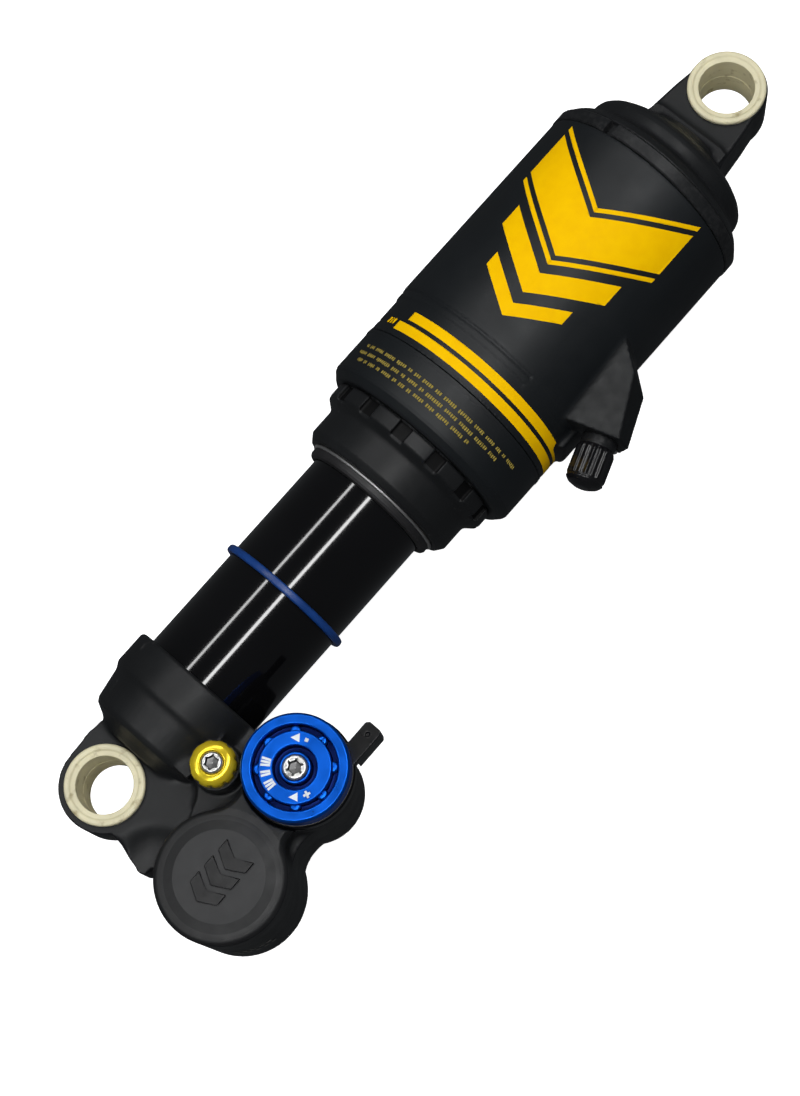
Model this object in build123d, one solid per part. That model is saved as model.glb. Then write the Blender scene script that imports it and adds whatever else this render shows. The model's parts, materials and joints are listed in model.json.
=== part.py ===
"""Rear air shock absorber, 210 mm eye to eye with a 50 mm stroke, as it comes apart on a bench.

Frame: origin at the centre of the lower eyelet's bore, +X along the shock to the upper eyelet,
+Z along both eyelet bores, towards the adjuster knobs. Millimetres.
"""
from build123d import *
import math
import os

# ---- driving dimensions -------------------------------------------------------------------
EYE_TO_EYE = 210.0
STROKE = 50.0
RUN = 0.05                  # radial clearance of a running fit

EYE_BORE_R = 6.35           # 12.7 mm bore of the bushes
BUSH_SLEEVE_R = 7.5
BUSH_FLANGE_R = 9.0
BUSH_HALF_WIDTH = 7.6
LUG_HALF = 6.3              # half thickness of both lugs
LOWER_LUG_R = 10.5
UPPER_LUG_R = 9.4

STANCHION_R = 15.0
STANCHION_BORE_R = 13.6
INNER_TUBE_R = 11.6
INNER_TUBE_BORE_R = 10.6
SHAFT_R = 4.75
STUB_R = 3.0                # threaded end of the shaft, under the piston

SOCKET_MOUTH = 30.2         # the head casting ends here and the stanchion comes out
SOCKET_SEAT = 15.0
SOCKET_FLOOR = 12.5
STANCHION_TOP = 112.0
SEAL_BODY_LOW = 106.0       # damper seal head, where it sits on the inner tube

RESERVOIR = (2.2, -33.8)    # the reservoir's axis, along Z
RESERVOIR_R = 14.4
RESERVOIR_BORE_R = 12.0
RESERVOIR_BACK = -18.0
RESERVOIR_FLOOR = -15.0
RESERVOIR_MOUTH = 14.3               # rim of the barrel that the cap screws into
CAP_FACE = 15.5
CAP_DISC_R, CAP_DISC_TOP = 9.9, 15.0
PLATEAU_TOP = 14.1                   # top face between the reservoir and the knobs
LEVER_RING_R = 12.1
FLOATING_LOW = -5.5
FLOATING_THICK = 7.0

LSC = (29.6, -31.6)         # low-speed compression knob, and the high-speed lever round it
HOUSING = (28.7, -32.1)
HOUSING_R = 11.2
HOUSING_BACK = -15.0
HOUSING_TOP = 10.6
KNOB_R = 11.65
KNOB_LOW = 14.7
KNOB_FACE = 20.0
NEEDLE_R = 1.5
DETENT_R = 9.7              # circle on which the knob's two detent balls sit
DETENT_DEGREES = (100, 280)
KEY = 2.5                   # across flats of every small hexagonal socket

REBOUND = (18.9, -17.1)     # rebound knob
REBOUND_R = 5.15
REBOUND_LOW = 13.9
REBOUND_FACE = 18.0
REBOUND_BOSS_TOP = 13.2

CAN_BORE_R = 19.5
CAN_R = 20.9
CAN_LOW = 96.3
CAN_TOP = 184.0
SLEEVE_BORE_R = 24.2
SLEEVE_R = 25.8
LIP_X = 84.2                # wiper lip, the lowest point of the air can
COLLAR_MOUTH = 86.9
SLEEVE_SEAM = 114.0         # joint between the lower and the main sleeve
SLEEVE_TOP = 178.3
CAP_SKIRT_TOP = 181.7
CAP_FLOOR = 186.0
NOTCH_COUNT = 14
NOTCH_START = 2.7            # degrees from the knob side

SAG_RING_X = 56.9
SAG_RING_R = 16.5
SAG_RING_HALF = 1.25

VALVE_Z = 3.6               # the valve lies in this plane
VALVE_R = 3.85
VALVE_CORE_R = 2.6
VALVE_CAP_R = 4.45

parts = {}


# ---- shapes used more than once -----------------------------------------------------------
def turned_x(points):
    """Solid of revolution about X; points are (x, radius) round the section."""
    return revolve(make_face(Polyline(*[(x, r, 0) for x, r in points], close=True)), Axis.X)


def turned_z(points, at=(0, 0)):
    """Solid of revolution about a Z axis at (x, y); points are (radius, z) round the section."""
    outline = Polyline(*[(r, 0, z) for r, z in points], close=True)
    return Pos(at[0], at[1], 0) * revolve(make_face(outline), Axis.Z)


def ring_x(low, high, inner, outer, chamfer=0.0):
    """Ring about X with its four long edges chamfered by the same amount."""
    c = chamfer
    return turned_x([
        (low + c, inner), (low, inner + c), (low, outer - c), (low + c, outer),
        (high - c, outer), (high, outer - c), (high, inner + c), (high - c, inner),
    ] if c else [(low, inner), (low, outer), (high, outer), (high, inner)])


def rod_z(low, high, radius, at=(0, 0)):
    """Cylinder along Z between two heights."""
    return Pos(at[0], at[1], (low + high) / 2) * Cylinder(radius, high - low)


def rod_between(start, end, radius):
    """Cylinder from one point to another."""
    axis = Vector(*end) - Vector(*start)
    middle = (Vector(*start) + Vector(*end)) / 2
    return Plane(origin=middle, z_dir=axis) * Cylinder(radius, axis.length)


def torus_x(x, radius, section):
    """Ring of round section about X."""
    return Pos(x, 0, 0) * Rot(0, 90, 0) * Torus(radius, section)


def torus_z(z, radius, section, at=(0, 0)):
    """Ring of round section about a Z axis."""
    return Pos(at[0], at[1], z) * Torus(radius, section)


def prism(points, low, high):
    """Straight prism of an outline in the XY plane between two heights."""
    face = make_face(Polyline(*[(x, y, 0) for x, y in points], close=True))
    return Pos(0, 0, low) * extrude(face, high - low)


def hex_socket(across_flats, low, high, at):
    """Hexagonal recess along Z."""
    sketch = RegularPolygon(across_flats / math.sqrt(3), 6)
    return Pos(at[0], at[1], low) * extrude(sketch, high - low)


def polar(center, radius, degrees):
    """Point at a distance and direction from a centre in the XY plane."""
    angle = math.radians(degrees)
    return (center[0] + radius * math.cos(angle), center[1] + radius * math.sin(angle))


def coil(radius, wire, height, turns):
    """Round-wire spring standing on the XY plane."""
    path = Helix(pitch=height / turns, height=height, radius=radius)
    section = Plane(origin=path @ 0, z_dir=path % 0) * Circle(wire)
    return Pos(0, 0, wire) * sweep(section, path=path, is_frenet=True)


def joined(solids):
    """Several separate solids as one group."""
    return Compound(children=[item for solid in solids for item in solid.solids()])


def disc_stack(start, step, thickness, radii, bore):
    """Shims about X, one against the next, from a start station in the direction of step."""
    discs = []
    for index, radius in enumerate(radii):
        near = start + step * index * thickness
        far = near + step * thickness
        discs.append(ring_x(min(near, far), max(near, far), bore, radius))
    return joined(discs)


# ---- eyelets ------------------------------------------------------------------------------
def bush_half(x, side):
    """Flanged plastic bush in one mouth of an eyelet; side is +1 on the knob side, -1 behind."""
    step_r = 7.45
    step = 0.4
    edge = 0.35
    points = [
        (EYE_BORE_R, 0), (BUSH_SLEEVE_R, 0), (BUSH_SLEEVE_R, LUG_HALF), (BUSH_FLANGE_R, LUG_HALF),
        (BUSH_FLANGE_R, BUSH_HALF_WIDTH - edge), (BUSH_FLANGE_R - edge, BUSH_HALF_WIDTH),
        (step_r + edge, BUSH_HALF_WIDTH), (step_r, BUSH_HALF_WIDTH - step),
        (EYE_BORE_R, BUSH_HALF_WIDTH - step),
    ]
    return turned_z([(r, side * z) for r, z in points], (x, 0))


def make_bushes():
    for name, x in (("lower", 0), ("upper", EYE_TO_EYE)):
        parts[f"{name}_bush_front"] = bush_half(x, 1)
        parts[f"{name}_bush_rear"] = bush_half(x, -1)


# ---- head casting -------------------------------------------------------------------------
def socket_body():
    """The round end of the head that holds the stanchion, with a waist below its collar."""
    return turned_x([
        (9.4, 0), (9.4, 10.2), (11.0, 12.6), (12.3, 15.1), (13.4, 15.8), (19.4, 16.8),
        (20.4, 16.7), (21.4, 17.6), (22.2, 17.9), (29.6, 17.9), (SOCKET_MOUTH, 17.3),
        (SOCKET_MOUTH, 0),
    ])


def lug_body():
    """Lower eye and the flat plate that joins it to the socket and the reservoir."""
    eye = rod_z(-LUG_HALF, LUG_HALF, LOWER_LUG_R)
    plate = prism([(-1.5, 10.4), (6.0, 10.9), (9.6, 10.5), (14, 8), (14, -22), (0, -26),
                   (-6.4, -19.4), (-8.8, -16.8), (-8.2, -14.2), (-7.2, -11.0), (-6.6, -7.8)],
                  -LUG_HALF, LUG_HALF)
    toe = rod_z(-LUG_HALF, LUG_HALF, 1.6, (-7.5, -17.6))
    scoop_r, scoop_depth = 15.4, 3.2
    scoop = Pos(-6, -20, LUG_HALF + scoop_r - scoop_depth) * Sphere(scoop_r)
    return eye + (plate + toe - scoop)


def tangent_center(a, a_radius, b, b_radius, radius):
    """Centre of a circle that touches two others from outside, on their -Y side."""
    span = math.hypot(b[0] - a[0], b[1] - a[1])
    to_a = a_radius + radius
    to_b = b_radius + radius
    along = (to_a ** 2 - to_b ** 2 + span ** 2) / (2 * span)
    off = math.sqrt(to_a ** 2 - along ** 2)
    ux, uy = (b[0] - a[0]) / span, (b[1] - a[1]) / span
    return (a[0] + ux * along + uy * off, a[1] + uy * along - ux * off)


def plateau():
    """Raised top face that runs from the reservoir's rim to the knob, waisted on both sides."""
    front = (16.7, -17.3)
    front_r = math.dist(RESERVOIR, front) - RESERVOIR_R
    back_r = 4.0
    ease = 0.9
    back = tangent_center(RESERVOIR, RESERVOIR_R, LSC, LEVER_RING_R, back_r)
    solid = prism([RESERVOIR, back, LSC, front], 0, PLATEAU_TOP)
    for center, radius in ((front, front_r), (back, back_r)):
        solid -= turned_z([(0, -1), (radius, -1), (radius, PLATEAU_TOP - ease),
                           (radius + ease, PLATEAU_TOP), (radius + ease, PLATEAU_TOP + 1),
                           (0, PLATEAU_TOP + 1)], center)
    return solid - rod_z(HOUSING_TOP, PLATEAU_TOP + 1, LEVER_RING_R + 0.4, LSC)


def reservoir_and_housing():
    """Two upright barrels side by side, run together with a concave neck."""
    neck_r = 10.0
    low, high = HOUSING_BACK + 3, 8.0
    neck = tangent_center(RESERVOIR, RESERVOIR_R, HOUSING, HOUSING_R, neck_r)
    infill = prism([RESERVOIR, neck, HOUSING], low, high) - rod_z(low - 1, high + 1, neck_r, neck)
    bridge = prism([(5.0, -20.0), (8.3, -18.4), (11.0, -17.4), (12.7, -16.1), (13.6, -14.4),
                    (14.4, -11.5), (16, -8), (30, -9), (37, -24), HOUSING, RESERVOIR], low, high)
    reservoir = turned_z([(0, RESERVOIR_BACK), (RESERVOIR_R, RESERVOIR_BACK), (RESERVOIR_R, 13.2),
                          (13.6, 14.0), (RESERVOIR_BORE_R, RESERVOIR_MOUTH), (0, RESERVOIR_MOUTH)],
                         RESERVOIR)
    housing = rod_z(HOUSING_BACK, HOUSING_TOP, HOUSING_R, HOUSING)
    seat = rod_z(HOUSING_TOP - 4, HOUSING_TOP, 11.3, LSC)
    return bridge + infill + reservoir + housing + seat + plateau()


def rebound_boss():
    """Round boss under the rebound knob, blended into the socket by a short rib."""
    boss = rod_z(0, REBOUND_BOSS_TOP, 5.4, REBOUND)
    rib = prism([(12.8, -14), (25, -14), (25, -8), (12.8, -8)], 0, 12.0)
    return boss + rib


def head_bores():
    """Everything cut out of the head: eye, stanchion seat, reservoir, valve bores and oil ports."""
    cuts = rod_z(-LUG_HALF - 1, LUG_HALF + 1, BUSH_SLEEVE_R)
    cuts += ring_x(SOCKET_SEAT, SOCKET_MOUTH + 1, 0, STANCHION_R)
    cuts += ring_x(SOCKET_FLOOR, SOCKET_SEAT, 0, 12.8)
    cuts += ring_x(SOCKET_MOUTH, SOCKET_MOUTH + STROKE, 0, 20.4)
    cuts += rod_z(RESERVOIR_FLOOR, RESERVOIR_MOUTH + 1, RESERVOIR_BORE_R, RESERVOIR)
    cuts += rod_z(RESERVOIR_BACK - 1, RESERVOIR_FLOOR, 2.5, RESERVOIR)
    cuts += rod_z(-10.0, HOUSING_TOP + 1, 8.0, LSC)
    cuts += rod_z(7.5, REBOUND_BOSS_TOP + 1, 3.4, REBOUND)
    cuts += rod_z(0, 7.5, 1.2 + RUN, REBOUND)
    cuts += rod_between((20, -12, -4), (26, -25, -4), 2.0)
    cuts += rod_between((23, -32.5, 3), (12, -33.2, 3), 2.0)
    for degrees in DETENT_DEGREES:
        cuts += rod_z(5.6, HOUSING_TOP + 1, 0.95, polar(LSC, DETENT_R, degrees))
    return cuts


def make_head():
    solid = socket_body() + lug_body() + reservoir_and_housing() + rebound_boss()
    parts["head_casting"] = solid - head_bores()


# ---- damper, inside the stanchion ---------------------------------------------------------
def make_damper():
    parts["stanchion_tube"] = ring_x(
        SOCKET_SEAT, STANCHION_TOP, STANCHION_BORE_R, STANCHION_R, 0.3)
    parts["inner_damper_tube"] = ring_x(
        SOCKET_FLOOR, SEAL_BODY_LOW, INNER_TUBE_BORE_R, INNER_TUBE_R)
    bore = SHAFT_R + RUN
    parts["damper_seal_head"] = turned_x([
        (103, bore), (103, INNER_TUBE_BORE_R), (SEAL_BODY_LOW, INNER_TUBE_BORE_R),
        (SEAL_BODY_LOW, STANCHION_BORE_R), (STANCHION_TOP, STANCHION_BORE_R),
        (STANCHION_TOP, STANCHION_R), (114, STANCHION_R), (114, 8.5), (121, 8.5),
        (121, 7.0), (116.5, 7.0), (116.5, bore),
    ])
    parts["shaft_seal"] = ring_x(116.5, 120.5, bore, 7.0, 0.3)
    parts["air_piston"] = turned_x([
        (105, STANCHION_R), (105, 19.0), (105.4, 19.35), (108, 19.35), (108, 17.2),
        (111.5, 17.2), (111.5, 19.35), (113, 19.35), (113, 18.4), (116.5, 18.4),
        (116.5, 19.35), (118.6, 19.35), (119, 19.0), (119, 8.5), (114, 8.5),
        (114, STANCHION_R),
    ])
    parts["air_piston_seal"] = ring_x(108, 111.5, 17.2, CAN_BORE_R - RUN, 0.3)
    parts["air_piston_guide_band"] = ring_x(113, 116.5, 18.4, CAN_BORE_R - RUN)


def make_shaft():
    piston_low, piston_high = 92.0, 99.0
    shim = 0.3
    parts["damper_shaft"] = turned_x([
        (84.4, 0), (84, 0.4), (84, STUB_R - 0.4), (84.4, STUB_R), (101, STUB_R),
        (101, SHAFT_R), (191.5, SHAFT_R), (192, SHAFT_R - 0.5), (192, 0),
    ])
    body = turned_x([
        (piston_low, STUB_R), (piston_low, 9.9), (piston_low + 0.4, 10.3), (93.5, 10.3),
        (93.5, 9.6), (97.5, 9.6), (97.5, 10.3), (piston_high - 0.4, 10.3),
        (piston_high, 9.9), (piston_high, STUB_R),
    ])
    for index in range(6):
        angle = math.radians(60 * index)
        port = Pos(95.5, 6.6 * math.cos(angle), 6.6 * math.sin(angle)) * Rot(0, 90, 0)
        body -= port * Cylinder(1.3, 8)
    parts["main_piston"] = body
    parts["piston_band"] = ring_x(93.5, 97.5, 9.6, INNER_TUBE_BORE_R - RUN)
    parts["rebound_shim_stack"] = disc_stack(piston_high, 1, shim, [8.6, 8.0, 7.2, 6.4, 5.6, 4.9],
                                             STUB_R)
    parts["compression_shim_stack"] = disc_stack(piston_low, -1, shim, [8.6, 8.0, 7.2, 6.4, 5.6],
                                                 STUB_R)
    nut = Pos(86.5, 0, 0) * Rot(0, 90, 0) * extrude(RegularPolygon(5.2, 6), 4)
    parts["piston_nut"] = nut - ring_x(86, 91, 0, STUB_R)
    parts["bottom_out_bumper"] = turned_x([
        (176.5, 5.0), (176.5, 7.2), (178.0, 9.4), (181.0, 9.4), (182.0, 8.6), (182.0, 5.0),
    ])


# ---- reservoir ----------------------------------------------------------------------------
def chevron(x, y, low, high):
    """V-shaped bar pointing along -X, its point at (x, y)."""
    reach, depth, rise = 3.9, 2.9, 2.2
    return prism([(x, y), (x + rise, y + reach), (x + rise + depth, y + reach), (x + depth, y),
                  (x + rise + depth, y - reach), (x + rise, y - reach)], low, high)


def make_reservoir():
    x, y = RESERVOIR
    cap = turned_z([
        (0, 6.5), (10.4, 6.5), (10.4, 5.0), (RESERVOIR_BORE_R, 5.0), (RESERVOIR_BORE_R, 7.0),
        (11.0, 7.0), (11.0, 9.0), (RESERVOIR_BORE_R, 9.0), (RESERVOIR_BORE_R, RESERVOIR_MOUTH),
        (CAP_DISC_R, CAP_DISC_TOP), (0, CAP_DISC_TOP),
    ], RESERVOIR)
    for offset in (-6.9, -2.5, 1.9):
        cap += chevron(x + offset, y, CAP_DISC_TOP - 0.1, CAP_FACE)
    parts["reservoir_cap"] = cap
    parts["reservoir_cap_seal"] = turned_z([
        (11.0, 7.0), (RESERVOIR_BORE_R, 7.0), (RESERVOIR_BORE_R, 9.0), (11.0, 9.0)], RESERVOIR)
    low = FLOATING_LOW
    high = FLOATING_LOW + FLOATING_THICK
    rim = RESERVOIR_BORE_R - RUN
    parts["floating_piston"] = turned_z([
        (0, low + 3), (8, low + 3), (8, low), (rim, low), (rim, low + 2.4), (10.4, low + 2.4),
        (10.4, low + 4.6), (rim, low + 4.6), (rim, high), (0, high)], RESERVOIR)
    parts["floating_piston_seal"] = turned_z([
        (10.4, low + 2.4), (rim, low + 2.4), (rim, low + 4.6), (10.4, low + 4.6)], RESERVOIR)
    screw = rod_z(RESERVOIR_BACK + 0.5, RESERVOIR_FLOOR, 2.5, RESERVOIR)
    parts["gas_charge_screw"] = screw - hex_socket(KEY, RESERVOIR_BACK, -16.2, RESERVOIR)


# ---- compression adjuster -----------------------------------------------------------------
def make_compression():
    bore = NEEDLE_R + 0.06
    cartridge = turned_z([
        (bore, -9.5), (3.2, -9.5), (3.2, -3.5), (8.0, -3.5), (8.0, -1.0), (5.5, -1.0),
        (5.5, 6.0), (8.0, 6.0), (8.0, HOUSING_TOP), (5.0, HOUSING_TOP), (5.0, 13.8),
        (3.0, 13.8), (3.0, 11.0), (bore, 11.0)], LSC)
    parts["compression_cartridge"] = cartridge
    parts["compression_valve_plate"] = turned_z([
        (3.2, -6.3), (7.6, -6.3), (7.6, -3.5), (3.2, -3.5)], LSC)
    shims = []
    for index, radius in enumerate((6.6, 5.8, 5.0, 4.4)):
        top = -6.3 - 0.3 * index
        shims.append(turned_z([(3.2, top - 0.3), (radius, top - 0.3), (radius, top), (3.2, top)],
                              LSC))
    parts["compression_valve_shims"] = joined(shims)
    nut = Pos(LSC[0], LSC[1], -9.4) * extrude(RegularPolygon(4.8, 6), 1.9)
    parts["compression_valve_nut"] = nut - rod_z(-10, -7, 3.2, LSC)
    parts["lsc_needle"] = turned_z([
        (0, -9.1), (0.4, -9.1), (NEEDLE_R, -7.0), (NEEDLE_R, 15.0), (0, 15.0)], LSC)
    make_lever()
    make_lsc_knob()
    balls = [Pos(*polar(LSC, DETENT_R, degrees), 10.5) * Sphere(0.85)
             for degrees in DETENT_DEGREES]
    parts["detent_balls"] = joined(balls)
    springs = [Pos(*polar(LSC, DETENT_R, degrees), 5.7) * coil(0.6, 0.15, 3.4, 6)
               for degrees in DETENT_DEGREES]
    parts["detent_springs"] = joined(springs)


def make_lever():
    """High-speed compression lever: a ring under the knob with an offset tab along +X."""
    ring_r = LEVER_RING_R
    tip = 17.8
    low_side, high_side = -8.1, -3.9
    corner = 0.7
    drop_start, drop_clear_r = 8.6, 12.5
    ring = turned_z([
        (5.0 + RUN, 11.0), (8.4, 11.0), (8.4, 11.6), (11.0, 11.6), (11.0, 11.0), (ring_r, 11.0),
        (ring_r, 14.0), (11.7, 14.4), (5.0 + RUN, 14.4)], LSC)
    end = [(tip - corner, low_side), (tip, low_side + corner), (tip, high_side - corner),
           (tip - corner, high_side)]
    tab = prism([(7.5, low_side), *end, (9.5, high_side)], 11.0, 14.4)
    drop = prism([(drop_start, low_side), *end, (drop_start, high_side)], 6.8, 12.0)
    tab += drop - rod_z(6, 13, drop_clear_r)
    tab -= rod_z(14.0, 15, 0.5, (15.4, (low_side + high_side) / 2))
    parts["hsc_lever"] = ring + Pos(LSC[0], LSC[1], 0) * tab


def make_lsc_knob():
    """Blue knob: outer ring, groove with lobes, inner dial ring, open centre and a hub."""
    lobes, lobe_r, lobe_at = 8, 1.25, 7.9
    lobe_turn = -3.0
    groove_out, dial_out, dial_in, hub_r = 9.15, 7.85, 4.7, 3.5
    groove_floor, hole_floor = 16.8, 16.4
    edge = 0.3
    dial = KNOB_FACE - 0.1
    seat, shank_r = KNOB_FACE - 1.6, 1.2
    head_r = 2.75
    knob = turned_z([
        (3.0 - RUN, 11.3), (3.0 - RUN, KNOB_LOW), (11.1, KNOB_LOW), (KNOB_R, KNOB_LOW + 0.5),
        (KNOB_R, KNOB_FACE - 0.5), (KNOB_R - 0.5, KNOB_FACE), (groove_out + edge, KNOB_FACE),
        (groove_out, KNOB_FACE - edge), (groove_out, groove_floor), (dial_out, groove_floor),
        (dial_out, dial - edge), (dial_out - edge, dial), (dial_in + edge, dial),
        (dial_in, dial - edge), (dial_in, hole_floor), (hub_r, hole_floor),
        (hub_r, KNOB_FACE - 0.8), (hub_r - edge, KNOB_FACE - 0.5), (head_r + 0.1, KNOB_FACE - 0.5),
        (head_r + 0.1, seat), (shank_r, seat), (shank_r, 16.2), (NEEDLE_R + 0.1, 16.2),
        (NEEDLE_R + 0.1, 11.3)], LSC)
    for index in range(lobes):
        center = polar(LSC, lobe_at, lobe_turn + 360 / lobes * index)
        knob += rod_z(groove_floor - 0.2, KNOB_FACE - 1.0, lobe_r, center)
    parts["lsc_knob"] = knob
    top = KNOB_FACE + 0.2
    screw = turned_z([(0, 16.2), (shank_r, 16.2), (shank_r, seat), (head_r, seat),
                      (head_r, top - 0.3), (head_r - 0.3, top), (0, top)], LSC)
    parts["lsc_knob_screw"] = screw - hex_socket(KEY, top - 1.3, top + 1, LSC)


# ---- rebound adjuster ---------------------------------------------------------------------
def make_rebound():
    bore = 1.2 + RUN
    parts["rebound_cartridge"] = turned_z([
        (bore, 7.5), (3.4, 7.5), (3.4, REBOUND_BOSS_TOP), (4.4, REBOUND_BOSS_TOP), (4.4, 13.6),
        (2.1, 13.6), (2.1, 11.4), (bore, 11.4)], REBOUND)
    parts["rebound_needle"] = turned_z([
        (0, 0.8), (0.3, 0.8), (1.2, 3.0), (1.2, 15.0), (0, 15.0)], REBOUND)
    knob = turned_z([
        (2.1 - RUN, 11.7), (2.1 - RUN, REBOUND_LOW), (4.6, REBOUND_LOW),
        (REBOUND_R, REBOUND_LOW + 0.5), (REBOUND_R, 16.4), (4.7, 17.3), (4.0, 17.8),
        (3.2, REBOUND_FACE), (2.5, REBOUND_FACE),
        (2.5, 17.0), (1.0, 17.0), (1.0, 15.8), (1.3, 15.8), (1.3, 11.7)], REBOUND)
    scallops = 10
    for index in range(scallops):
        knob -= rod_z(REBOUND_LOW - 1, 16.8, 1.3,
                      polar(REBOUND, REBOUND_R + 0.85, 360 / scallops * index))
    parts["rebound_knob"] = knob
    screw = turned_z([(0, 15.8), (1.0, 15.8), (1.0, 17.0), (2.4, 17.0), (2.4, 18.1),
                      (2.15, 18.35), (0, 18.35)], REBOUND)
    parts["rebound_knob_screw"] = screw - hex_socket(KEY, 17.2, 19, REBOUND)


# ---- sag ring -----------------------------------------------------------------------------
def make_sag_ring():
    low = SAG_RING_X - SAG_RING_HALF
    high = SAG_RING_X + SAG_RING_HALF
    inner = STANCHION_R + RUN
    parts["sag_ring"] = turned_x([
        (low + 0.4, inner), (low, inner + 0.5), (low, SAG_RING_R - 0.6), (low + 0.5, SAG_RING_R),
        (high - 0.5, SAG_RING_R), (high, SAG_RING_R - 0.6), (high, inner + 0.5),
        (high - 0.4, inner)])


# ---- air can ------------------------------------------------------------------------------
def make_seal_head():
    """Lower end of the air can: collar, flare and a flange with notches for a spanner."""
    solid = turned_x([
        (COLLAR_MOUTH, 17.0), (COLLAR_MOUTH, 18.4), (88.1, 19.3), (88.7, 19.7), (94.4, 19.7),
        (95.2, 20.0), (96.0, 20.9), (96.8, 21.9), (97.2, 22.2), (100.4, 22.2), (100.6, 22.0),
        (100.6, CAN_R), (CAN_LOW, CAN_R), (CAN_LOW, CAN_BORE_R), (102, CAN_BORE_R), (102, 15.3),
        (100.5, 15.3), (100.5, 17.6), (97.5, 17.6), (97.5, 15.3), (96, 15.3), (96, 16.2),
        (90, 16.2), (90, 15.3), (89.5, 15.3), (89.5, 17.0)])
    notch = Pos(98.95, 0, 22.4) * Box(3.4, 3.6, 2.4)
    toe = Pos(97.25, 0, 22.4) * Cylinder(1.8, 2.4)
    for index in range(NOTCH_COUNT):
        solid -= Rot(NOTCH_START + 360 / NOTCH_COUNT * index, 0, 0) * (notch + toe)
    parts["air_can_seal_head"] = solid
    inner = STANCHION_R + RUN
    parts["wiper_seal"] = turned_x([
        (LIP_X + 0.3, inner), (LIP_X, inner + 0.4), (LIP_X + 0.3, 16.5), (LIP_X + 0.8, 16.8),
        (86.1, 16.8), (86.1, 16.5), (COLLAR_MOUTH, 16.5), (COLLAR_MOUTH, 17.0), (89.5, 17.0),
        (89.5, 15.6), (88.0, 15.6), (86.5, inner)])
    parts["wiper_wire"] = torus_x(86.5, 16.92, 0.38)
    parts["guide_bush"] = ring_x(90, 96, inner, 16.2)
    parts["main_air_seal"] = turned_x([
        (97.5, 17.6), (97.5, 16.2), (97.5, inner + 0.2), (97.8, inner), (100.2, inner),
        (100.5, inner + 0.3), (99.2, 16.2), (100.5, 17.2), (100.5, 17.6)])
    parts["top_out_bumper"] = ring_x(102, 104.6, 15.4, 19.0, 0.4)


def make_cans():
    can = ring_x(CAN_LOW, CAN_TOP, CAN_BORE_R, CAN_R)
    for index in range(4):
        can -= Rot(90 * index + 45, 0, 0) * Pos(150, 0, 20) * Cylinder(1.2, 6)
    parts["air_can"] = can
    parts["lower_sleeve"] = turned_x([
        (100.9, CAN_R), (100.9, 23.4), (101.3, 23.9), (102.6, 25.1), (103.3, 25.37),
        (112.9, 25.37), (113.4, 25.5), (SLEEVE_SEAM - 0.1, 25.5), (SLEEVE_SEAM - 0.1, SLEEVE_BORE_R),
        (118, SLEEVE_BORE_R), (118, 23.2), (103.4, 23.2), (103.4, CAN_R)])
    sleeve = turned_x([
        (SLEEVE_SEAM + 0.1, SLEEVE_BORE_R), (SLEEVE_SEAM + 0.1, 25.5), (114.7, 25.5), (115.2, 25.3),
        (116.8, 25.3), (117.0, 25.15), (117.6, 25.15), (117.8, 25.3), (123.4, 25.3), (123.9, 25.6),
        (125.2, 25.6), (125.4, 25.4), (125.9, 25.4), (126.1, 25.7), (126.9, SLEEVE_R),
        (SLEEVE_TOP, SLEEVE_R), (SLEEVE_TOP, SLEEVE_BORE_R)])
    parts["main_sleeve"] = sleeve + valve_boss() - valve_bores()
    lock = ring_x(SLEEVE_TOP + 0.1, CAP_SKIRT_TOP - 0.1, SLEEVE_BORE_R, 26.0, 0.3)
    gap = Rot(-20, 0, 0) * Pos((SLEEVE_TOP + CAP_SKIRT_TOP) / 2, 0, 25) * Box(5, 2.4, 4)
    parts["sleeve_lock_ring"] = lock - gap
    parts["sleeve_seals"] = joined([
        ring_x(107, 109.2, CAN_R, 22.2), ring_x(174, 176.2, 23.2, SLEEVE_BORE_R)])
    parts["sleeve_seal_carrier"] = turned_x([
        (105, 22.2), (105, 23.2), (111, 23.2), (111, CAN_R), (109.2, CAN_R), (109.2, 22.2)])
    parts["volume_spacer"] = ring_x(181, CAP_FLOOR, 11, 19.2, 0.5)


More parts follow.
